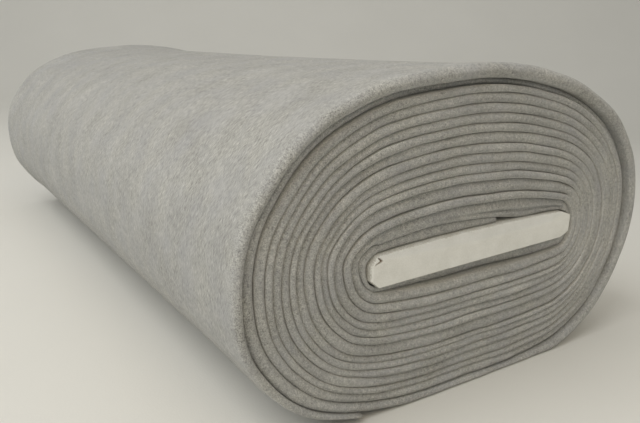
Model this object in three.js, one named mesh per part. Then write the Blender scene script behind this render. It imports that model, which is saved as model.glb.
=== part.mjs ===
// A bolt of thick wool cloth, folded double and wound on a flat carton board, lying on its flatter side.
// Millimetres, +Z up. The roll's axis runs along Y, its folded edge and the bare board end are at -Y,
// and the board's width lies along X. The origin is on the floor under the middle of the roll.
import * as THREE from 'three';

// Sizes of the board
const BOARD_WIDTH = 220;
const BOARD_THICK = 22.6;
const BOARD_LENGTH = 735;
const BOARD_BOW = 2; // how far the middle of its upper face stands up
const BOARD_CHAMFER = 5;
const BOARD_TILT = THREE.MathUtils.degToRad(2.45); // its +X edge lies higher
const BOARD_HEIGHT = 114.5; // its middle above the floor

// Sizes of the wound cloth
const ROLL_LENGTH = 740;
const RIM_PROUD = 3; // how far the outer turn stands past the others at both ends
const GROOVE_DEPTH = 4; // between two folds
const STEPS_PER_STATION = 3;

// Places along the cloth, in turns from its inner end
const CLIMB_START = 0.935; // the second turn starts to climb over the inner end
const PINCH = { middle: 14, reach: 0.3, depth: 4 }; // here one fold sinks in under the outer turn
const RIM_START = { from: 14.15, to: 14.6 }; // from here on the folds stand proud as the rim
const CLOTH_END = 15.39; // the outer end, tucked under low on the left

// The rays that the turns are measured along, counter-clockwise seen from the open end. Each starts on the
// board's face, this far across from its middle, and points this way in degrees. board, inner and reach are
// the distances along it to the hole's wall, to the first groove and to the deep groove under the outer turn.
const STATIONS = [
  { across: 0, heading: 90, board: 2.7, inner: 13.4, reach: 108.7 },
  { across: -48, heading: 95, board: 2.3, inner: 14.2, reach: 107.6 },
  { across: -99, heading: 100, board: 1.4, inner: 7.5, reach: 100.4 },
  { across: -99, heading: 132, board: 6.2, inner: 11.3, reach: 102.2 },
  { across: -99, heading: 164, board: 12.2, inner: 18.7, reach: 107.7 },
  { across: -99, heading: 196, board: 12.2, inner: 13.2, reach: 104.8 },
  { across: -99, heading: 228, board: 6.4, inner: 6.8, reach: 94.8 },
  { across: -99, heading: 260, board: 1, inner: 3.5, reach: 89.5 },
  { across: -48, heading: 265, board: 0.8, inner: 7.6, reach: 96.2 },
  { across: 0, heading: 270, board: 0.7, inner: 8.5, reach: 96.6 },
  { across: 48, heading: 275, board: 0.7, inner: 9, reach: 99.2 },
  { across: 99, heading: 280, board: 1.3, inner: 6.9, reach: 96.5 },
  { across: 99, heading: 312, board: 6.6, inner: 9.5, reach: 96.6 },
  { across: 99, heading: 344, board: 12.4, inner: 11.7, reach: 100 },
  { across: 99, heading: 376, board: 12.4, inner: 8.6, reach: 98.1 },
  { across: 99, heading: 408, board: 5.9, inner: 4.9, reach: 88.8 },
  { across: 99, heading: 440, board: 1.3, inner: 2.3, reach: 89.5 },
  { across: 48, heading: 445, board: 2.3, inner: 11.1, reach: 103.5 },
];

// The grooves, a row for each turn: the share of the way from inner to reach at the top, left, bottom and
// right of the turn, and how far the fold outside the groove stands proud of the others, in millimetres.
// The last row only carries the outer side of the outer turn.
const TURNS = [
  { top: -0.01, left: -0.01, bottom: 0, right: -0.017, proud: -3 },
  { top: -0.053, left: 0.013, bottom: 0.033, right: 0.07, proud: -1.5 },
  { top: 0.085, left: 0.103, bottom: 0.125, right: 0.136, proud: 0.6 },
  { top: 0.147, left: 0.169, bottom: 0.213, right: 0.22, proud: -0.4 },
  { top: 0.263, left: 0.268, bottom: 0.265, right: 0.261, proud: 0.5 },
  { top: 0.328, left: 0.311, bottom: 0.34, right: 0.345, proud: -0.3 },
  { top: 0.402, left: 0.373, bottom: 0.415, right: 0.416, proud: 0.2 },
  { top: 0.484, left: 0.422, bottom: 0.481, right: 0.472, proud: 0.7 },
  { top: 0.553, left: 0.505, bottom: 0.602, right: 0.589, proud: -0.5 },
  { top: 0.64, left: 0.581, bottom: 0.641, right: 0.629, proud: 0.4 },
  { top: 0.709, left: 0.63, bottom: 0.718, right: 0.705, proud: 0.1 },
  { top: 0.787, left: 0.691, bottom: 0.784, right: 0.771, proud: 0.6 },
  { top: 0.86, left: 0.764, bottom: 0.878, right: 0.849, proud: -0.2 },
  { top: 0.94, left: 0.82, bottom: 0.933, right: 0.921, proud: 0.3 },
  { top: 0.996, left: 0.894, bottom: 1.021, right: 1.03, proud: 0 },
  { top: 1.042, left: 0.999, bottom: 1.085, right: 1.142, proud: 0 },
  { top: 1.157, left: 1.06, bottom: 1.139, right: 1.193, proud: 0 },
];

// How the outer face runs from the visible end to the far end: the distance from the visible end, how far
// the cloth flares out there, and how much lower its top lies. The first and last are the rims' edges.
const OUTER_RINGS = [
  { inset: 4, flare: 0.6, waist: 0 },
  { inset: 16, flare: 1.6, waist: 0.4 },
  { inset: 60, flare: 0, waist: 2.4 },
  { inset: 130, flare: 0, waist: 3.7 },
  { inset: 340, flare: 0, waist: 6 },
  { inset: 640, flare: 0, waist: 6.3 },
  { inset: 700, flare: 0.6, waist: 4.5 },
  { inset: 724, flare: 1.6, waist: 2 },
  { inset: 736, flare: 0.6, waist: 1.6 },
];
const RIM_EDGE = OUTER_RINGS[0].inset;
const WAIST_PLACES = { whole: 0.08, none: 0.22 }; // the top, as shares of a turn to either side of it

const STEPS_PER_TURN = STATIONS.length * STEPS_PER_STATION;
const LAST_STEP = Math.round(CLOTH_END * STEPS_PER_TURN);

// Share of the way out of the groove under the cloth, after this many turns
const GROOVE_SHARES = TURNS.flatMap((turn) => [turn.top, turn.left, turn.bottom, turn.right]);

function grooveShare(turns) {
  const quarter = turns * 4;
  const first = Math.floor(quarter);
  const [before, from, to, after] = [-1, 0, 1, 2].map((step) => {
    return GROOVE_SHARES[THREE.MathUtils.clamp(first + step, 0, GROOVE_SHARES.length - 1)];
  });
  const share = quarter - first;
  const slopeFrom = (to - before) / 2;
  const slopeTo = (after - from) / 2;
  return from + slopeFrom * share + (3 * (to - from) - 2 * slopeFrom - slopeTo) * share ** 2
    + (slopeFrom + slopeTo - 2 * (to - from)) * share ** 3;
}

// How far the fold stands past the plane of the folds
function foldProud(turns) {
  const first = Math.min(Math.floor(turns), TURNS.length - 2);
  const uneven = THREE.MathUtils.lerp(TURNS[first].proud, TURNS[first + 1].proud, turns - first);
  const rim = RIM_PROUD * THREE.MathUtils.smoothstep(turns, RIM_START.from, RIM_START.to);
  const pinch = 1 - THREE.MathUtils.smoothstep(Math.abs(turns - PINCH.middle), 0, PINCH.reach);
  return uneven + rim - PINCH.depth * pinch;
}

// A smooth point between the second and the third of four, paced by the gaps between them
function curvePoint(points, share) {
  const knots = [0];
  for (let index = 1; index < 4; index += 1) {
    knots.push(knots[index - 1] + Math.sqrt(points[index].distanceTo(points[index - 1])));
  }
  const at = THREE.MathUtils.lerp(knots[1], knots[2], share);
  const mix = (a, b, from, to) => a.clone().lerp(b, (at - from) / (to - from));
  const first = mix(points[0], points[1], knots[0], knots[1]);
  const second = mix(points[1], points[2], knots[1], knots[2]);
  const third = mix(points[2], points[3], knots[2], knots[3]);
  return mix(mix(first, second, knots[0], knots[2]), mix(second, third, knots[1], knots[3]), knots[1], knots[2]);
}

// The groove under the cloth after this many turns, in the board's own frame, pushed out by flare
function groovePoint(turns, flare = 0) {
  const place = (turns % 1) * STATIONS.length;
  const share = grooveShare(turns);
  const climb = turns < 1 ? THREE.MathUtils.smoothstep(turns, CLIMB_START, 1) : 1;
  const around = [-1, 0, 1, 2].map((step) => {
    const index = (Math.floor(place) + step + STATIONS.length) % STATIONS.length;
    const { across, heading, board, inner, reach } = STATIONS[index];
    const distance = THREE.MathUtils.lerp(board, inner + (reach - inner) * share, climb) + flare;
    const angle = THREE.MathUtils.degToRad(heading);
    const z = (BOARD_THICK / 2 + distance) * Math.sin(angle);
    return new THREE.Vector2(across + distance * Math.cos(angle), z);
  });
  return curvePoint(around, place % 1);
}

// Tilts a point of the section with the board, and presses it flat where it meets the floor
function settle(point) {
  const { x, y: z } = point.clone().rotateAround(new THREE.Vector2(), BOARD_TILT);
  return [x, Math.max(z + BOARD_HEIGHT, 0)];
}

function grooveAt(turns) {
  return settle(groovePoint(turns));
}

// The outer face at one of its rings
function outerAt(turns, { flare, waist }) {
  const fromTop = Math.min(turns % 1, 1 - (turns % 1));
  const lower = waist * (1 - THREE.MathUtils.smoothstep(fromTop, WAIST_PLACES.whole, WAIST_PLACES.none));
  return settle(groovePoint(turns, flare - lower));
}

function ridgeAt(turns) {
  return settle(groovePoint(turns).lerp(groovePoint(turns + 1), 0.5));
}

// The wound cloth: each turn is a ridge between two grooves on both ends, and the grooves are one spiral
function makeFabricRoll() {
  const positions = [];
  const triangles = [];

  function addVertex([x, z], y) {
    positions.push(x, y, z);
    return positions.length / 3 - 1;
  }
  function addQuad(a, b, c, d) {
    triangles.push(a, b, c, a, c, d);
  }

  // end is -1 at the visible end and 1 at the far end
  function makeEnd(end) {
    const foldPlane = ROLL_LENGTH / 2 - RIM_PROUD;
    const rimRing = end > 0 ? OUTER_RINGS.at(-1) : OUTER_RINGS[0];
    const grooves = [];
    for (let step = 0; step <= LAST_STEP + STEPS_PER_TURN; step += 1) {
      const turns = step / STEPS_PER_TURN;
      const outermost = step >= LAST_STEP;
      const level = outermost
        ? foldPlane + foldProud(turns - 1) - RIM_EDGE
        : foldPlane - GROOVE_DEPTH + Math.min(foldProud(turns), foldProud(Math.max(turns - 1, 0)));
      grooves.push(addVertex(outermost ? outerAt(turns, rimRing) : grooveAt(turns), end * level));
    }
    const ridges = [];
    for (let step = 0; step <= LAST_STEP; step += 1) {
      const turns = step / STEPS_PER_TURN;
      ridges.push(addVertex(ridgeAt(turns), end * (foldPlane + foldProud(turns))));
    }
    for (let step = 0; step < LAST_STEP; step += 1) {
      const inner = [grooves[step], grooves[step + 1], ridges[step + 1], ridges[step]];
      const outerStep = step + STEPS_PER_TURN;
      const outer = [ridges[step], ridges[step + 1], grooves[outerStep + 1], grooves[outerStep]];
      for (const quad of [inner, outer]) addQuad(...(end > 0 ? quad : quad.reverse()));
    }
    const hole = [...grooves.slice(0, STEPS_PER_TURN + 1), ridges[0]];
    const outline = [...grooves.slice(LAST_STEP), ridges[LAST_STEP]];
    return { hole, outline };
  }

  // Joins two loops of the same count by a band of quads
  function addWall(from, to) {
    for (let index = 0; index < from.length; index += 1) {
      const next = (index + 1) % from.length;
      addQuad(from[index], to[index], to[next], from[next]);
    }
  }

  // A loop of the outer face between the rims
  function addRing(ring) {
    const y = ring.inset - ROLL_LENGTH / 2;
    const loop = [];
    for (let step = LAST_STEP; step <= LAST_STEP + STEPS_PER_TURN; step += 1) {
      loop.push(addVertex(outerAt(step / STEPS_PER_TURN, ring), y));
    }
    loop.push(addVertex(ridgeAt(LAST_STEP / STEPS_PER_TURN), y));
    return loop;
  }

  const near = makeEnd(-1);
  const far = makeEnd(1);
  const rings = [near.outline, ...OUTER_RINGS.slice(1, -1).map(addRing), far.outline];
  for (let index = 0; index + 1 < rings.length; index += 1) addWall(rings[index], rings[index + 1]);
  addWall(far.hole, near.hole);

  const geometry = new THREE.BufferGeometry();
  geometry.setAttribute('position', new THREE.Float32BufferAttribute(positions, 3));
  geometry.setIndex(triangles);
  const material = new THREE.MeshStandardMaterial({ color: 0xa3a39b, roughness: 0.95, metalness: 0 });
  const mesh = new THREE.Mesh(geometry, material);
  mesh.name = 'fabric_roll';
  return mesh;
}

// The carton board: a flat box with bevelled edges, its upper face bowed up in the middle
function makeBoltBoard() {
  const halfWidth = BOARD_WIDTH / 2;
  const halfThick = BOARD_THICK / 2;
  const outline = new THREE.Shape();
  outline.moveTo(-halfWidth, -halfThick + BOARD_CHAMFER);
  outline.lineTo(-halfWidth + BOARD_CHAMFER, -halfThick);
  outline.lineTo(halfWidth - BOARD_CHAMFER, -halfThick);
  outline.lineTo(halfWidth, -halfThick + BOARD_CHAMFER);
  outline.lineTo(halfWidth, halfThick - BOARD_CHAMFER);
  outline.lineTo(halfWidth - BOARD_CHAMFER, halfThick);
  outline.quadraticCurveTo(0, halfThick + 2 * BOARD_BOW, -halfWidth + BOARD_CHAMFER, halfThick);
  outline.lineTo(-halfWidth, halfThick - BOARD_CHAMFER);
  outline.closePath();
  const geometry = new THREE.ExtrudeGeometry(outline, {
    depth: BOARD_LENGTH,
    bevelEnabled: false,
    curveSegments: 8,
  });
  geometry.translate(0, 0, -BOARD_LENGTH / 2);
  geometry.rotateX(Math.PI / 2);
  const material = new THREE.MeshStandardMaterial({ color: 0xc4c4b8, roughness: 0.85, metalness: 0 });
  const mesh = new THREE.Mesh(geometry, material);
  mesh.name = 'bolt_board';
  mesh.position.z = BOARD_HEIGHT;
  mesh.rotation.y = -BOARD_TILT;
  return mesh;
}

const bolt = new THREE.Group();
bolt.add(makeFabricRoll(), makeBoltBoard());
const middle = new THREE.Box3().setFromObject(bolt).getCenter(new THREE.Vector3());
bolt.position.set(-middle.x, 0, 0);

export default bolt;
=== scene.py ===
import math

import bpy
import numpy as np
from mathutils import Matrix, Vector, noise


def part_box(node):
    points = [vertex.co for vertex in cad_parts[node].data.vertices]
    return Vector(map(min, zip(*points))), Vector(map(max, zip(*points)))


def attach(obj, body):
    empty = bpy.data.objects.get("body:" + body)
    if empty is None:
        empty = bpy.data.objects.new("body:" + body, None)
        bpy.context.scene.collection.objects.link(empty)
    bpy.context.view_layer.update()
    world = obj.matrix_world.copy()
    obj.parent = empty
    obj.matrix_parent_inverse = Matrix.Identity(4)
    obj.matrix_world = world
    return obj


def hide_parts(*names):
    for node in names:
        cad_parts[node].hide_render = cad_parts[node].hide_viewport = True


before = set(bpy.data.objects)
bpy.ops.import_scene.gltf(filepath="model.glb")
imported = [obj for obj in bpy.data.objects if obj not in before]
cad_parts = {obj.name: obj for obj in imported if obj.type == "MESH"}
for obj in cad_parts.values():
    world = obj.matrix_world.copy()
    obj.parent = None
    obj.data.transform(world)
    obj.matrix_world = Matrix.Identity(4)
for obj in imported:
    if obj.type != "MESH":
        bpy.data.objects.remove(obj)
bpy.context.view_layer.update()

MM = 0.001
BOARD_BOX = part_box("bolt_board")

# Sizes of the board, as in the solids
BOARD_WIDTH = 220
BOARD_THICK = 22.6
BOARD_LENGTH = 735
BOARD_BOW = 2
BOARD_TILT = math.radians(2.45)
BOARD_HEIGHT = 114.5
BOARD_MIDDLE = (BOARD_BOX[0].x + BOARD_BOX[1].x) / 2 / MM

# Shapes of the board's end: how far each corner is cut away across and up, how far its edges are rounded,
# the soft crease that a flap of it leans back from, and how uneven it is, in spots of this size
BOARD_CORNERS = [
    dict(side=-1, face=1, across=5.3, up=6.5),
    dict(side=-1, face=-1, across=7, up=6),
    dict(side=1, face=1, across=12, up=4),
    dict(side=1, face=-1, across=10, up=4),
]
BOARD_ROUND = dict(left=2.5, right=1.2, face=0.7)
FLAP_CREASE = [(-104, 8.5), (-85, 6.1), (0, 3.6), (60, 3.6), (84, 4.2), (98, 9)]
FLAP_LEAN = 0.16
FLAP_SOFT = 1.2
END_UNEVEN = dict(amount=0.25, across=9, up=6)

# The torn notch in the board's corner: two slits from one point, to these ends. They narrow on the way, and
# this share of their width is at full depth.
NOTCH_POINT = Vector((-101.8, 7.8))
NOTCH_ENDS = [Vector((-107, 6.1)), Vector((-104.8, 10.4))]
NOTCH_WIDTHS = (1.1, 0.4)
NOTCH_DEPTH = 1.6
NOTCH_CORE = 0.3

# How finely the board's ends are drawn: in columns across, closest at its two sides, and in rows up, closest
# at its faces, given as shares of its thickness
LEFT_COLUMNS = dict(count=30, pitch=0.4)
MIDDLE_COLUMNS = 66
RIGHT_COLUMNS = dict(count=8, pitch=0.75)
FACE_ROWS = [0, 0.008, 0.02, 0.035, 0.06]
INNER_ROWS = dict(first=0.09, last=0.91, count=34)
SHARP_EDGE = math.radians(38)

# What the board's material reads: where the end turns a little darker and greyer above the crease, and how
# far in its edges are worn
FLAP_TONE = (0.2, 3)
WORN_REACH = 1.2

# Sizes of the wound cloth in millimetres, and places along it in turns from its inner end, as in the solids
ROLL_LENGTH = 740
RIM_PROUD = 3
CLIMB_START = 0.935
RIM_START = (14.15, 14.6)
CLOTH_END = 15.39

# The rays that the turns are measured along, counter-clockwise seen from the visible end. Each starts on
# the board's face, this far across from its middle, and points this way in degrees. board, inner and reach
# are the distances along it to the innermost cloth, the first groove and the deep groove under the outer
# turn. In the solids the innermost cloth keeps a little further off the board.
STATIONS = [
    dict(across=0, heading=90, board=2.7, inner=13.4, reach=108.7),
    dict(across=-48, heading=95, board=2.3, inner=14.2, reach=107.6),
    dict(across=-99, heading=100, board=1.4, inner=7.5, reach=100.4),
    dict(across=-99, heading=132, board=5, inner=11.3, reach=102.2),
    dict(across=-99, heading=164, board=12.2, inner=18.7, reach=107.7),
    dict(across=-99, heading=196, board=11.4, inner=13.2, reach=104.8),
    dict(across=-99, heading=228, board=5.2, inner=6.8, reach=94.8),
    dict(across=-99, heading=260, board=0.8, inner=3.5, reach=89.5),
    dict(across=-48, heading=265, board=0.6, inner=7.6, reach=96.2),
    dict(across=0, heading=270, board=0.7, inner=8.5, reach=96.6),
    dict(across=48, heading=275, board=0.7, inner=9, reach=99.2),
    dict(across=99, heading=280, board=1, inner=6.9, reach=96.5),
    dict(across=99, heading=312, board=6.6, inner=9.5, reach=96.6),
    dict(across=99, heading=344, board=12.4, inner=11.7, reach=100),
    dict(across=99, heading=376, board=12.4, inner=8.6, reach=98.1),
    dict(across=99, heading=408, board=3.8, inner=4.9, reach=88.8),
    dict(across=99, heading=440, board=0.8, inner=2.3, reach=89.5),
    dict(across=48, heading=445, board=2, inner=11.1, reach=103.5),
]

# The grooves, a row for each turn: the share of the way from inner to reach at the top, left, bottom and
# right of the turn, and how far the fold outside the groove stands proud of the others. For the first turn's
# fold FIRST_FOLD says it.
TURNS = [
    dict(top=-0.01, left=-0.01, bottom=0, right=-0.017),
    dict(top=-0.053, left=0.013, bottom=0.033, right=0.07, proud=-1.5),
    dict(top=0.085, left=0.103, bottom=0.125, right=0.136, proud=0.6),
    dict(top=0.147, left=0.169, bottom=0.213, right=0.22, proud=-0.4),
    dict(top=0.263, left=0.268, bottom=0.265, right=0.261, proud=0.5),
    dict(top=0.328, left=0.311, bottom=0.34, right=0.345, proud=-0.3),
    dict(top=0.402, left=0.373, bottom=0.415, right=0.416, proud=0.2),
    dict(top=0.484, left=0.422, bottom=0.481, right=0.472, proud=0.7),
    dict(top=0.553, left=0.505, bottom=0.602, right=0.589, proud=-0.5),
    dict(top=0.64, left=0.581, bottom=0.641, right=0.629, proud=0.4),
    dict(top=0.709, left=0.63, bottom=0.718, right=0.705, proud=0.1),
    dict(top=0.787, left=0.691, bottom=0.784, right=0.771, proud=0.6),
    dict(top=0.86, left=0.764, bottom=0.878, right=0.849, proud=-0.2),
    dict(top=0.94, left=0.82, bottom=0.933, right=0.921, proud=0.3),
    dict(top=0.996, left=0.894, bottom=1.021, right=1.03, proud=0),
    dict(top=1.042, left=0.999, bottom=1.085, right=1.142, proud=0),
    dict(top=1.157, left=1.06, bottom=1.139, right=1.193, proud=0),
]
GROOVE_SHARES = [turn[side] for turn in TURNS for side in ("top", "left", "bottom", "right")]

# How far the first turn's fold stands proud, by place along it: it sinks in most under the board's left
# half. In the solids it comes up evenly along the turn.
FIRST_FOLD = [(-0.02, -4.5), (0.03, -3.5), (0.09, -4.5), (0.14, -3.5), (0.19, -2.6), (0.34, -2.6), (0.4, -4),
              (0.44, -8), (0.51, -8.5), (0.57, -6), (0.68, -4), (1, -1.5)]

# How much further out than in the solids the groove round the first turn lies where it rounds the board's
# upper left corner, by turns
FIRST_GROOVE_SWELL = [(0.98, 0), (1.06, 1.2), (1.11, 1.8), (1.17, 2), (1.23, 0), (1.42, 0)]

# How far the fold under the outer turn is pinched in, by turns
PINCHED = [(13.55, 0), (13.68, 3), (13.85, 5), (14, 6.5), (14.1, 5), (14.2, 2.5), (14.26, 0)]

# How the outer turn flares towards its rims: the distance in from the rim, and how far out. At the visible
# end only the left side flares, between these places of a turn.
RIM_FLARE = [(0, 0), (4, 0.6), (16, 1.6), (60, 0)]
FLARE_LEFT = dict(start=(0.08, 0.18), end=(0.33, 0.42))

# Between its rims the top of the outer turn lies lower: the distance in from the visible end, and how far.
# This fades out between these places either side of the top, and always leaves this much of the thickness.
WAIST = [(0, 0), (20, 0.5), (38, 2), (130, 3.7), (340, 6), (640, 6.3), (700, 4.5), (724, 2), (740, 1.5)]
WAIST_PLACES = (0.08, 0.22)
WAIST_LEAVES = 4.2

# The outer turn takes up its flare and its waist over this stretch
OUTER_TURN = (CLOTH_END - 1, CLOTH_END - 0.9)

# The step that the cloth starts at, a little before the top. Over this length in turns before its outer end
# it thins to this share of its thickness.
START_STEP = -3
TAIL = dict(length=0.06, thin=0.45)

# How finely the doubled cloth is drawn: its sections, the steps round the nose of its fold, and the places
# across its outer side, as shares of the way from the far end to the fold
STEPS_PER_STATION = 8
STEPS_PER_TURN = len(STATIONS) * STEPS_PER_STATION
LAST_STEP = round(CLOTH_END * STEPS_PER_TURN)
NOSE_STEPS = 18
SKIN_SHARES = [0, 0.01, 0.03, 0.08, 0.15, 0.24, 0.34, 0.44, 0.54, 0.64, 0.74, 0.83, 0.91, 0.96, 0.985]

# The doubled cloth: how thick one layer is at most, and the gaps between turns and between its two layers
LAYER = 3.1
TURN_GAP = 0.12
LAYER_GAP = 0.15

# The rounded nose of its fold: its depth as a share of its width, at most this deep, less on the first turn,
# uneven from place to place, and fading into the flat side over this distance. At a power of 2 it is half an
# ellipse, and below that more pointed.
NOSE_DEPTH = 0.47
NOSE_MOST = 6
FIRST_NOSE = dict(share=0.6, end=(0.95, 1.25))
NOSE_POWER = 1.6
NOSE_UNEVEN = dict(amount=0.35, waves=37, layer=0.5)
NOSE_BLEND = 12

# How far the grooves wander, as pairs of a size and an amount, and the layers of noise for across and up
MEANDERS = [(38, 0.5), (13, 0.25)]
MEANDER_LAYERS = (0.4, 5.3)

# Slow waves of the folds and of the two loose edges at the far end, as pairs of a length and an amount. The
# inner layer's edge lies this much further in. The shifts take each turn and wave to a part of the noise of
# its own.
LONG_WAVE = (70, 1.3)
SHORT_WAVE = (22, 0.5)
OUTER_EDGE_WAVE = (55, 1.5)
INNER_EDGE_WAVE = (45, 1.8)
INNER_EDGE_BACK = 0.6
INNER_EDGE_SHIFT = 40
WAVE_SHIFTS = dict(turn=3.7, length=0.13)

# Painted light in the grooves between the folds, standing in for light caught by fuzz there: the turns over
# which it starts and ends, and how narrow it is
GROOVE_LIGHT_PLACES = dict(start=(1, 1.4), end=(13.5, 13.8), power=7)

# Low on the right the folds are pressed to this share of their depth, between these places of a turn
PRESSED = dict(start=(0.6, 0.68), end=(0.8, 0.9), share=0.5)

# A crease along a fold's nose, where the second turn starts: its place across the nose, and its depth
CREASE = [
    dict(turns=0.86, middle=0.3, depth=0),
    dict(turns=0.885, middle=0.3, depth=2.4),
    dict(turns=0.92, middle=0.42, depth=3),
    dict(turns=0.95, middle=0.4, depth=3),
    dict(turns=1, middle=0.37, depth=2.4),
    dict(turns=1.06, middle=0.36, depth=1),
    dict(turns=1.09, middle=0.36, depth=0),
]
CREASE_WIDTH = 0.9


def lerp(a, b, share):
    return a + (b - a) * share


def smoothstep(value, low, high):
    share = min(max((value - low) / (high - low), 0), 1)
    return share * share * (3 - 2 * share)


def read_table(table, place):
    """The value at a place, from a table of pairs of a place and a value."""
    return float(np.interp(place, *zip(*table)))


# The wound form, made as in the solids

def groove_share(turns):
    """How far out the groove is here, by a smooth curve through the shares of TURNS."""
    quarter = turns * 4
    first = math.floor(quarter)
    last = len(GROOVE_SHARES) - 1
    before, start, end, after = (
        GROOVE_SHARES[min(max(first + step, 0), last)] for step in (-1, 0, 1, 2))
    share = quarter - first
    slope_start = (end - before) / 2
    slope_end = (after - start) / 2
    return (start + slope_start * share
            + (3 * (end - start) - 2 * slope_start - slope_end) * share ** 2
            + (slope_start + slope_end - 2 * (end - start)) * share ** 3)


def fold_proud(turns):
    """How far the fold stands proud of the others here."""
    if turns < 1:
        uneven = read_table(FIRST_FOLD, turns)
    else:
        first = min(math.floor(turns), len(TURNS) - 2)
        uneven = lerp(TURNS[first]["proud"], TURNS[first + 1]["proud"], turns - first)
    rim = RIM_PROUD * smoothstep(turns, *RIM_START)
    return uneven + rim - read_table(PINCHED, turns)


def curve_point(points, share):
    """A smooth point between the second and the third of four, paced by the gaps between them."""
    knots = [0]
    for index in range(1, 4):
        knots.append(knots[-1] + math.sqrt((points[index] - points[index - 1]).length))
    at = lerp(knots[1], knots[2], share)

    def mix(a, b, start, end):
        return a.lerp(b, (at - start) / (end - start))

    first = mix(points[0], points[1], knots[0], knots[1])
    second = mix(points[1], points[2], knots[1], knots[2])
    third = mix(points[2], points[3], knots[2], knots[3])
    before = mix(first, second, knots[0], knots[2])
    after = mix(second, third, knots[1], knots[3])
    return mix(before, after, knots[1], knots[2])


def groove_point(turns):
    """The groove inside this place of the cloth, in a section whose middle is the board's."""
    place = (turns % 1) * len(STATIONS)
    share = groove_share(turns)
    climb = smoothstep(turns, CLIMB_START, 1) if turns < 1 else 1
    around = []
    for step in (-1, 0, 1, 2):
        station = STATIONS[(math.floor(place) + step) % len(STATIONS)]
        free = station["inner"] + (station["reach"] - station["inner"]) * share
        distance = lerp(station["board"], free, climb) + read_table(FIRST_GROOVE_SWELL, turns)
        angle = math.radians(station["heading"])
        across = station["across"] + distance * math.cos(angle)
        around.append(Vector((across, (BOARD_THICK / 2 + distance) * math.sin(angle))))
    return curve_point(around, place % 1)


def settle(point):
    """Tilts a point of the section with the board, and presses it flat where it meets the floor."""
    turned = Matrix.Rotation(BOARD_TILT, 2) @ point
    return Vector((turned.x + BOARD_MIDDLE, max(turned.y + BOARD_HEIGHT, 0)))


# The cloth

def wander(along, turn, length, amount):
    """A slow unevenness along a turn, different on each one."""
    place = (along / length, turn * WAVE_SHIFTS["turn"], length * WAVE_SHIFTS["length"])
    return amount * noise.noise(Vector(place))


def meander(point):
    """Moves a groove a little, so that no two turns are quite as thick."""
    moved = point.copy()
    for size, amount in MEANDERS:
        for axis, layer in enumerate(MEANDER_LAYERS):
            moved[axis] += amount * noise.noise(Vector((point.x / size, point.y / size, layer)))
    return Vector((moved.x, max(moved.y, 0)))


def fold_depth(turns, thick):
    """How far a fold's rounded nose reaches past the flat sides of the cloth."""
    place = turns % 1
    pressed = smoothstep(place, *PRESSED["start"]) - smoothstep(place, *PRESSED["end"])
    bumps = noise.noise(Vector((turns * NOSE_UNEVEN["waves"], NOSE_UNEVEN["layer"], turns)))
    uneven = 1 + NOSE_UNEVEN["amount"] * bumps
    on_board = lerp(FIRST_NOSE["share"], 1, smoothstep(turns, *FIRST_NOSE["end"]))
    return min(NOSE_DEPTH * thick, NOSE_MOST) * lerp(1, PRESSED["share"], pressed) * uneven * on_board


def crease_at(turns, share, thick):
    """How deep the crease is at this share of the nose's width."""
    middle, depth = (read_table([(row["turns"], row[key]) for row in CREASE], turns)
                     for key in ("middle", "depth"))
    return depth * math.exp(-((share - middle) * thick / CREASE_WIDTH) ** 2)


def rim_shares(turns):
    """How much this place has of the flare at the visible end, of that at the far end and of the waist."""
    place = turns % 1
    outer = smoothstep(turns, *OUTER_TURN)
    left = smoothstep(place, *FLARE_LEFT["start"]) - smoothstep(place, *FLARE_LEFT["end"])
    return outer * left, outer, outer * smoothstep(min(place, 1 - place), *reversed(WAIST_PLACES))


def fold_profile(turns, thick, front, back_outer, back_inner):
    """The closed section of the doubled cloth across one turn. Each point is a distance out, a y, its
    nearness to the fold and its share of painted light, which lifts the shade down in the grooves between the
    folds."""
    near_flare, far_flare, slack = rim_shares(turns)
    layer = min(LAYER, (thick - LAYER_GAP) / 2)
    depth = fold_depth(turns, thick)
    base = front + depth

    # The outer side, from the far end to the fold
    points = []
    for share in SKIN_SHARES:
        y = lerp(back_outer, base, share)
        from_near, from_far = ROLL_LENGTH / 2 + y, ROLL_LENGTH / 2 - y
        flare = near_flare * read_table(RIM_FLARE, from_near) + far_flare * read_table(RIM_FLARE, from_far)
        out = thick + flare
        out -= min(slack * read_table(WAIST, from_near), out - WAIST_LEAVES)
        points.append((out, y, smoothstep(y - base, NOSE_BLEND, 0), 0))

    # The fold's nose
    shoulder = near_flare * read_table(RIM_FLARE, ROLL_LENGTH / 2 + base)
    lit_turns = smoothstep(turns, *GROOVE_LIGHT_PLACES["start"]) - smoothstep(turns, *GROOVE_LIGHT_PLACES["end"])
    for index in range(NOSE_STEPS + 1):
        angle = math.pi * index / NOSE_STEPS
        side = math.copysign(abs(math.cos(angle)) ** (2 / NOSE_POWER), math.cos(angle))
        share = (1 + side) / 2
        rise = depth * math.sin(angle) ** (2 / NOSE_POWER) - crease_at(turns, share, thick)
        # The share of painted light, most at the sides of the nose, down in the grooves
        groove_lit = lit_turns * abs(math.cos(angle)) ** GROOVE_LIGHT_PLACES["power"]
        points.append(((thick + shoulder) * share, base - rise, 1, groove_lit))

    # The inner side, the two loose edges and the slot between the layers
    slot_end = front + layer + depth / 2
    wall = max(thick - layer - slack * max(lower for inset, lower in WAIST), layer + LAYER_GAP)
    hidden = [(0, base + NOSE_BLEND),
              (0, back_inner), (layer / 2, back_inner + layer / 3), (layer, back_inner),
              (layer, slot_end), ((layer + wall) / 2, front + layer), (wall, slot_end),
              (wall, back_outer), ((wall + thick) / 2, back_outer + layer / 3)]
    return points + [(out, y, 0, 0) for out, y in hidden]


def make_mesh(name, vertices, faces):
    """A new object of these points, given in millimetres."""
    mesh = bpy.data.meshes.new(name)
    mesh.from_pydata([tuple(value * MM for value in vertex) for vertex in vertices], [], faces)
    mesh.shade_smooth()
    made = bpy.data.objects.new(name, mesh)
    bpy.context.scene.collection.objects.link(made)
    return made


def write_values(piece, name, values):
    """Gives each point of a piece a number that its material can read."""
    piece.data.attributes.new(name, "FLOAT", "POINT").data.foreach_set("value", values)


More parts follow.
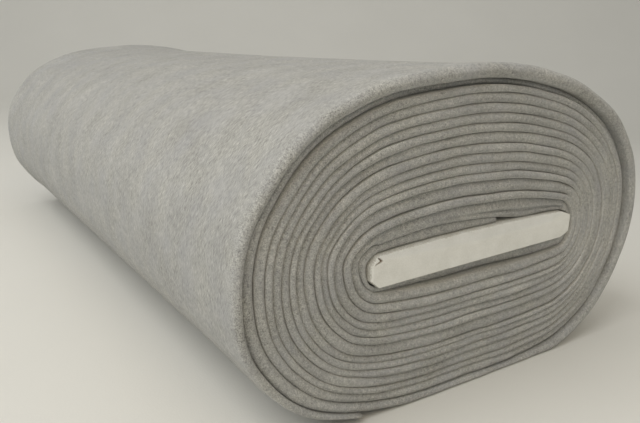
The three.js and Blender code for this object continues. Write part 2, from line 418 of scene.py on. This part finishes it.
def cloth_faces(sections, count):
    """The faces between sections of this many points each, and the two that close the ends."""
    last = (sections - 1) * count
    faces = [tuple(range(count)), tuple(reversed(range(last, last + count)))]
    for here in range(0, last, count):
        for index in range(count):
            after = (index + 1) % count
            faces.append((here + index, here + count + index, here + count + after, here + after))
    return faces


def write_uv(piece, name, places):
    """Gives a piece a flat map, from a place for each of its points."""
    corners = np.zeros(len(piece.data.loops), np.int32)
    piece.data.loops.foreach_get("vertex_index", corners)
    uv = piece.data.uv_layers.new(name=name)
    uv.data.foreach_set("uv", np.array(places, np.float32)[corners].ravel())


def make_cloth():
    """The doubled cloth, section by section from its inner end to its outer one."""
    grooves = {}
    for step in range(START_STEP, LAST_STEP + STEPS_PER_TURN + 1):
        grooves[step] = meander(settle(groove_point(step / STEPS_PER_TURN)))
    vertices, near_fold, groove_light_share, places = [], [], [], []
    length = 0
    previous = None
    steps = range(START_STEP, LAST_STEP + 1)
    for step in steps:
        turns = step / STEPS_PER_TURN
        inner, outer = grooves[step], grooves[step + STEPS_PER_TURN]
        across = (outer - inner).normalized()
        start = inner + across * TURN_GAP / 2
        tail = smoothstep(turns, CLOTH_END - TAIL["length"], CLOTH_END)
        thick = ((outer - inner).length - TURN_GAP) * lerp(1, TAIL["thin"], tail)
        middle = (inner + outer) / 2
        length += (middle - previous).length if previous else 0
        previous = middle

        turn = math.floor(turns)
        reach = ROLL_LENGTH / 2 - RIM_PROUD + fold_proud(turns)
        front = -(reach + wander(length, turn, *LONG_WAVE) + wander(length, turn, *SHORT_WAVE))
        back_outer = reach + wander(length, turn, *OUTER_EDGE_WAVE)
        back_inner = (back_outer - INNER_EDGE_BACK
                      + wander(length, turn + INNER_EDGE_SHIFT, *INNER_EDGE_WAVE))
        profile = fold_profile(turns, thick, front, back_outer, back_inner)

        width = 0
        last = profile[0]
        for out, y, near, groove_lit in profile:
            width += math.hypot(out - last[0], y - last[1])
            last = (out, y)
            place = start + across * out
            vertices.append((place.x, y, max(place.y, 0)))
            near_fold.append(near)
            groove_light_share.append(groove_lit)
            places.append((length * MM, width * MM))
    cloth = make_mesh("wound_cloth", vertices, cloth_faces(len(steps), len(profile)))
    write_values(cloth, "near_fold", near_fold)
    # Where painted light lifts the shade in the grooves
    write_values(cloth, "groove_light_share", groove_light_share)
    write_uv(cloth, "cloth", places)
    return cloth


# The board

def board_face(across, face):
    """How far the board's upper (1) or lower (-1) face is from its middle, with its corners cut away."""
    half = BOARD_WIDTH / 2
    bow = BOARD_BOW * max(1 - (across / half) ** 2, 0) if face > 0 else 0
    cut = 0
    for corner in BOARD_CORNERS:
        if corner["face"] == face and across * corner["side"] > 0:
            cut = corner["up"] * max(1 - (half - abs(across)) / corner["across"], 0)
    return BOARD_THICK / 2 + bow - cut


def rounding(distance, radius):
    """How far a rounded edge falls back, this far in from the edge."""
    inside = min(max(radius - distance, 0), radius)
    return radius - math.sqrt(radius ** 2 - inside ** 2)


def flap_at(across, up):
    """How far up the leaning flap a place is, from 0 on the flat end."""
    above = up - read_table(FLAP_CREASE, across)
    return (math.sqrt(above ** 2 + FLAP_SOFT ** 2) + above) / 2


def notch_at(across, up):
    """1 in the middle of the torn notch, and 0 outside it."""
    place = Vector((across, up))
    deepest = 0
    for end in NOTCH_ENDS:
        slit = end - NOTCH_POINT
        share = min(max((place - NOTCH_POINT).dot(slit) / slit.length_squared, 0), 1)
        width = lerp(*NOTCH_WIDTHS, share)
        distance = (place - NOTCH_POINT - slit * share).length
        deepest = max(deepest, 1 - smoothstep(distance, NOTCH_CORE * width, width))
    return deepest


def end_relief(across, up, torn):
    """How far the board's end falls back from its plane."""
    half = BOARD_WIDTH / 2
    rim = min(board_face(across, 1) - up, up + board_face(across, -1))
    back = max(rounding(rim, BOARD_ROUND["face"]),
               rounding(half + across, BOARD_ROUND["left"]),
               rounding(half - across, BOARD_ROUND["right"]))
    back += FLAP_LEAN * flap_at(across, up) + NOTCH_DEPTH * notch_at(across, up) * torn
    place = Vector((across / END_UNEVEN["across"], up / END_UNEVEN["up"], torn))
    return back + END_UNEVEN["amount"] * noise.noise(place)


def board_grid():
    """The places across the board and the shares of its thickness that its ends are drawn at."""
    half = BOARD_WIDTH / 2
    left, right = LEFT_COLUMNS, RIGHT_COLUMNS
    columns = [-half + left["pitch"] * step for step in range(left["count"] + 1)]
    start, end = columns[-1], half - right["count"] * right["pitch"]
    columns += [lerp(start, end, step / MIDDLE_COLUMNS) for step in range(1, MIDDLE_COLUMNS + 1)]
    columns += [end + right["pitch"] * step for step in range(1, right["count"] + 1)]
    first, last, count = (INNER_ROWS[key] for key in ("first", "last", "count"))
    inner = [lerp(first, last, step / count) for step in range(count + 1)]
    return columns, FACE_ROWS + inner + [1 - share for share in reversed(FACE_ROWS)]


def board_faces(columns, rows):
    """The faces of two ends of this many points each way, and of the sides between them."""
    size = columns * rows
    faces = []
    for column in range(columns - 1):
        for row in range(rows - 1):
            here = column * rows + row
            near = (here, here + rows, here + rows + 1, here + 1)
            faces.append(near)
            faces.append(tuple(size + corner for corner in reversed(near)))
    rim = list(range(rows))
    rim += [column * rows + rows - 1 for column in range(1, columns)]
    rim += [size - 1 - row for row in range(1, rows)]
    rim += [column * rows for column in range(columns - 2, 0, -1)]
    for here, after in zip(rim, rim[1:] + rim[:1]):
        faces.append((here, after, size + after, size + here))
    return faces


def make_board():
    """The board, drawn finely at both ends and straight between them."""
    half = BOARD_WIDTH / 2
    columns, shares = board_grid()
    vertices, flap, worn, slit = [], [], [], []
    for end in (-1, 1):
        torn = end < 0
        for across in columns:
            low, high = -board_face(across, -1), board_face(across, 1)
            for share in shares:
                up = lerp(low, high, share)
                place = settle(Vector((across, up)))
                vertices.append((place.x, end * (BOARD_LENGTH / 2 - end_relief(across, up, torn)), place.y))
                rim = min(high - up, up - low, half - abs(across))
                flap.append(smoothstep(flap_at(across, up), *FLAP_TONE))
                worn.append(max(1 - rim / WORN_REACH, 0))
                slit.append(notch_at(across, up) * torn)
    board = make_mesh("carton_board", vertices, board_faces(len(columns), len(shares)))
    board.data.set_sharp_from_angle(angle=SHARP_EDGE)
    write_values(board, "flap", flap)
    write_values(board, "worn", worn)
    write_values(board, "slit", slit)
    return board


# Materials

class Surface:
    """A material whose nodes are added and joined in short calls, with its patterns' sizes in millimetres."""

    def __init__(self, name, roughness):
        self.material = bpy.data.materials.new(name)
        self.material.use_nodes = True
        self.tree = self.material.node_tree
        self.shader = self.tree.nodes["Principled BSDF"]
        self.shader.inputs["Roughness"].default_value = roughness

    def node(self, kind, inputs, **settings):
        """A new node with these inputs, each a value or another node's output."""
        made = self.tree.nodes.new(kind)
        for name, value in settings.items():
            setattr(made, name, value)
        for key, value in inputs.items():
            if isinstance(value, bpy.types.NodeSocket):
                self.tree.links.new(value, made.inputs[key])
            else:
                made.inputs[key].default_value = value
        return made

    def uv(self, name):
        """Places on a flat map, in metres."""
        return self.node("ShaderNodeUVMap", {}, uv_map=name).outputs["UV"]

    def place(self):
        """Places in the piece's own space, in metres."""
        return self.node("ShaderNodeTexCoord", {}).outputs["Object"]

    def value(self, name):
        """A number that write_values gave each point."""
        return self.node("ShaderNodeAttribute", {}, attribute_name=name).outputs["Fac"]

    def grain(self, place, size, detail=2, turn=0):
        """Noise from 0 to 1, with spots of this size each way, turned by degrees."""
        turned = self.node("ShaderNodeMapping", {"Vector": place, "Rotation": (0, 0, math.radians(turn))})
        scale = [1 / (length * MM) for length in size]
        scaled = self.node("ShaderNodeVectorMath", {0: turned.outputs[0], 1: scale}, operation="MULTIPLY")
        made = self.node("ShaderNodeTexNoise", {"Vector": scaled.outputs[0], "Scale": 1, "Detail": detail})
        return made.outputs["Fac"]

    def sum(self, *parts):
        """A number with weighted noises added to it, each as far as it is off its middle."""
        total = parts[0]
        for noise_value, weight in parts[1:]:
            shifted = self.node("ShaderNodeMath", {0: noise_value, 1: weight, 2: -weight / 2},
                                operation="MULTIPLY_ADD").outputs[0]
            total = self.node("ShaderNodeMath", {0: shifted, 1: total}, operation="ADD").outputs[0]
        return total

    def clamped(self, operation, first, second):
        """Two numbers added or multiplied, and kept from 0 to 1."""
        made = self.node("ShaderNodeMath", {0: first, 1: second}, operation=operation, use_clamp=True)
        return made.outputs[0]

    def mix(self, share, first, second):
        """A number between two."""
        made = self.node("ShaderNodeMix", {0: share, 2: first, 3: second}, data_type="FLOAT")
        return made.outputs[0]

    def colours(self, share, stops):
        """Colours along a share, from pairs of a place and a colour."""
        made = self.node("ShaderNodeValToRGB", {"Fac": share})
        ramp = made.color_ramp
        while len(ramp.elements) < len(stops):
            ramp.elements.new(0.5)
        for element, (place, colour) in zip(ramp.elements, stops):
            element.position = place
            element.color = (*colour, 1)
        return made.outputs["Color"]

    def tint(self, share, first, second):
        """A colour between two."""
        made = self.node("ShaderNodeMix", {0: share, 6: first, 7: second}, data_type="RGBA")
        return made.outputs[2]

    def finish(self, colour, height, depth):
        """Joins the colour and a bump of this depth in millimetres."""
        self.tree.links.new(colour, self.shader.inputs["Base Color"])
        bump = self.node("ShaderNodeBump", {"Height": height, "Strength": 1, "Distance": depth * MM})
        self.tree.links.new(bump.outputs["Normal"], self.shader.inputs["Normal"])
        return self.material


# The wool's gloss, and how deep its relief is
WOOL_ROUGHNESS = 0.95
WOOL_GLOSS = {"Sheen Weight": 0.12, "Sheen Roughness": 0.6, "Specular IOR Level": 0.2}
WOOL_RELIEF = 0.4

# Light and dark fibres of the melange wool and the shades between, by how light they are
WOOL_SHADES = [
    (0.0, (0.2, 0.195, 0.182)),
    (0.35, (0.36, 0.355, 0.331)),
    (0.65, (0.5, 0.495, 0.46)),
    (1.0, (0.68, 0.67, 0.62)),
]
# A pale colour painted into the grooves as light, then a cooler tone of the wool for random patches
PAINTED_GROOVE_LIGHT = (0.88, 0.86, 0.8, 1)
COOL_WOOL = (0.37, 0.375, 0.4, 1)

# The wool's patterns: the size of their spots, along, across and through the lying cloth or each way in space
CLOUDS = (45, 28, 1)
STRANDS = (4, 0.6, 1)
LOCKS = (9, 2, 1)
NAP = (0.8, 0.8, 0.8)
TUFTS = (2.6, 2.6, 2.6)
COOL_PATCHES = (26, 26, 26)

# The directions that strands and locks take off the cloth's length, in degrees
FIBRE_TURNS = (-28, 4, 33)

# Each pattern's strength, and the middle that it is added to: how light the wool is where it lies flat and
# where it stands on the folds, and how much painted light in the grooves and cool wool is in it
LYING = dict(middle=0.43, clouds=0.4, strands=0.9, locks=0.4)
STANDING = dict(middle=0.48, nap=1.8, tufts=0.8, clouds=0.5)
GROOVE_LIGHT_GRAIN = dict(middle=0.35, nap=0.7)
COOLNESS = dict(middle=0.12, patches=1)


def make_wool():
    wool = Surface("wool", WOOL_ROUGHNESS)
    for name, value in WOOL_GLOSS.items():
        wool.shader.inputs[name].default_value = value
    along, place = wool.uv("cloth"), wool.place()
    clouds = wool.grain(along, CLOUDS)
    lying = wool.sum(LYING["middle"], (clouds, LYING["clouds"]))
    for turn in FIBRE_TURNS:
        strands, locks = (wool.grain(along, size, turn=turn) for size in (STRANDS, LOCKS))
        lying = wool.sum(lying, (strands, LYING["strands"]), (locks, LYING["locks"]))
    nap = wool.grain(place, NAP, detail=3)
    standing = wool.sum(STANDING["middle"], (nap, STANDING["nap"]),
                        (wool.grain(place, TUFTS), STANDING["tufts"]), (clouds, STANDING["clouds"]))
    shade = wool.mix(wool.value("near_fold"), lying, standing)
    cool = wool.sum(COOLNESS["middle"], (wool.grain(place, COOL_PATCHES), COOLNESS["patches"]))
    groove_light = wool.clamped("MULTIPLY", wool.sum(GROOVE_LIGHT_GRAIN["middle"], (nap, GROOVE_LIGHT_GRAIN["nap"])), wool.value("groove_light_share"))
    colour = wool.tint(cool, wool.colours(shade, WOOL_SHADES), COOL_WOOL)
    # Painted light: the grooves are tinted pale to lift their shade
    colour = wool.tint(groove_light, colour, PAINTED_GROOVE_LIGHT)
    return wool.finish(colour, shade, WOOL_RELIEF)


# The carton: its colours, the size of its patterns' spots, and how strongly they soil it and wear its edges
CARTON_ROUGHNESS = 0.75
CARTON_RELIEF = 0.12
PAPER = (0.87, 0.865, 0.815, 1)
# The end is a little darker and greyer above the crease
GREYER_ABOVE_CREASE = (0.82, 0.82, 0.785, 1)
SOILED_PAPER = (0.48, 0.47, 0.4, 1)
BARE_CARTON = (0.42, 0.39, 0.32, 1)
# The torn slit's colour: the brown of torn carton, darkened further as painted shade in the slit
SLIT_BROWN_AND_SHADE = (0.2, 0.14, 0.085, 1)
PAPER_FIBRES = (0.8, 0.8, 0.8)
PAPER_PATCHES = (14, 14, 14)
SOIL = dict(middle=0.12, fibres=0.5, patches=0.4)
WEAR = dict(middle=-0.6, fibres=2, patches=1)


def make_carton():
    carton = Surface("carton", CARTON_ROUGHNESS)
    place = carton.place()
    fibres = carton.grain(place, PAPER_FIBRES, detail=3)
    patches = carton.grain(place, PAPER_PATCHES)
    soiled, rough = (carton.sum(row["middle"], (fibres, row["fibres"]), (patches, row["patches"]))
                     for row in (SOIL, WEAR))
    # A little darker and greyer above the crease
    colour = carton.tint(carton.value("flap"), PAPER, GREYER_ABOVE_CREASE)
    colour = carton.tint(soiled, colour, SOILED_PAPER)
    colour = carton.tint(carton.clamped("ADD", rough, carton.value("worn")), colour, BARE_CARTON)
    # Partly painted shade: the torn slit is tinted dark brown, darker than bare carton as shade inside it
    colour = carton.tint(carton.value("slit"), colour, SLIT_BROWN_AND_SHADE)
    return carton.finish(colour, fibres, CARTON_RELIEF)


# The pale floor: its two shades, the size of their patches and of its fine grain
FLOOR_ROUGHNESS = 0.8
FLOOR_RELIEF = 0.1
FLOOR_SHADES = [(0.73, 0.72, 0.675, 1), (0.77, 0.76, 0.715, 1)]
FLOOR_PATCHES = (260, 260, 260)
FLOOR_GRAIN = (2, 2, 2)


def make_floor_surface():
    pale = Surface("pale", FLOOR_ROUGHNESS)
    place = pale.place()
    colour = pale.tint(pale.grain(place, FLOOR_PATCHES), *FLOOR_SHADES)
    return pale.finish(colour, pale.grain(place, FLOOR_GRAIN), FLOOR_RELIEF)


# The camera, from the photograph: its place from the middle of the board's near end, its bearing off +Y,
# its angle below level and its roll
CAMERA_PLACE = Vector((-359.0, -650.4, 248.1))
CAMERA_YAW = math.radians(35.836)
CAMERA_PITCH = math.radians(14.518)
CAMERA_ROLL = math.radians(-2.966)
CAMERA_LENS = 34.083
CAMERA_SENSOR = 36


def make_camera():
    forward = Vector((math.sin(CAMERA_YAW) * math.cos(CAMERA_PITCH),
                      math.cos(CAMERA_YAW) * math.cos(CAMERA_PITCH),
                      -math.sin(CAMERA_PITCH)))
    level = Vector((math.cos(CAMERA_YAW), -math.sin(CAMERA_YAW), 0))
    down = forward.cross(level)
    right = math.cos(CAMERA_ROLL) * level + math.sin(CAMERA_ROLL) * down
    up = math.sin(CAMERA_ROLL) * level - math.cos(CAMERA_ROLL) * down
    data = bpy.data.cameras.new("camera")
    data.sensor_width = CAMERA_SENSOR
    data.lens = CAMERA_LENS
    camera = bpy.data.objects.new("camera", data)
    place = (CAMERA_PLACE + Vector((BOARD_MIDDLE, 0, 0))) * MM
    camera.matrix_world = Matrix.Translation(place) @ Matrix((right, up, -forward)).transposed().to_4x4()
    bpy.context.scene.collection.objects.link(camera)
    bpy.context.scene.camera = camera


# The room, in metres: how far the floor reaches to each side, in front of the roll and behind it, and how it
# sweeps up from there
FLOOR_SIDE = 6
FLOOR_FRONT = 3
FLOOR_DEPTH = 1.6
SWEEP_RADIUS = 1.2
SWEEP_STEPS = 16
BACKDROP_HEIGHT = 4


def make_floor():
    """A pale floor that sweeps up into the backdrop."""
    rows = [(-FLOOR_FRONT, 0), (FLOOR_DEPTH, 0)]
    for index in range(1, SWEEP_STEPS + 1):
        angle = math.pi / 2 * index / SWEEP_STEPS
        rows.append((FLOOR_DEPTH + SWEEP_RADIUS * math.sin(angle), SWEEP_RADIUS * (1 - math.cos(angle))))
    rows.append((FLOOR_DEPTH + SWEEP_RADIUS, BACKDROP_HEIGHT))
    turn = Matrix.Rotation(-CAMERA_YAW, 3, "Z")
    vertices = [turn @ Vector((x, y, z)) / MM for y, z in rows for x in (-FLOOR_SIDE, FLOOR_SIDE)]
    faces = [(2 * i, 2 * i + 1, 2 * i + 3, 2 * i + 2) for i in range(len(rows) - 1)]
    floor = make_mesh("floor", vertices, faces)
    return floor


# The lights: a large soft one high on the left, weaker ones overhead and in front, and the pale room round
# them. Places are in metres, and all lamps point at the middle of the roll.
ROOM_LIGHT = dict(colour=(1, 1, 0.97), strength=0.345)
LAMPS = [
    dict(name="high_left", place=(-1.9, -0.3, 2.1), size=2, power=39, colour=(0.97, 0.98, 0.98)),
    dict(name="overhead", place=(-0.5, -0.3, 2.4), size=3, power=14, colour=(1, 0.95, 0.88)),
    dict(name="front", place=(-0.5, -1.4, 1.4), size=1, power=3.4, colour=(1, 0.8, 0.5)),
]
LAMP_AIM = Vector((0, 0, 0.1))


def make_lights():
    world = bpy.data.worlds.new("room")
    world.use_nodes = True
    sky = world.node_tree.nodes["Background"]
    sky.inputs["Color"].default_value = (*ROOM_LIGHT["colour"], 1)
    sky.inputs["Strength"].default_value = ROOM_LIGHT["strength"]
    bpy.context.scene.world = world
    for row in LAMPS:
        data = bpy.data.lights.new(row["name"], "AREA")
        data.energy = row["power"]
        data.size = row["size"]
        data.color = row["colour"]
        lamp = bpy.data.objects.new(row["name"], data)
        lamp.location = row["place"]
        lamp.rotation_euler = (LAMP_AIM - lamp.location).to_track_quat("-Z", "Y").to_euler()
        bpy.context.scene.collection.objects.link(lamp)
    bpy.context.scene.view_settings.view_transform = "Standard"


make_camera()
make_lights()
floor = make_floor()
floor.data.materials.append(make_floor_surface())

cloth = make_cloth()
cloth.data.materials.append(make_wool())
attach(cloth, "root")
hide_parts("fabric_roll")

board = make_board()
board.data.materials.append(make_carton())
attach(board, "root")
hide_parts("bolt_board")
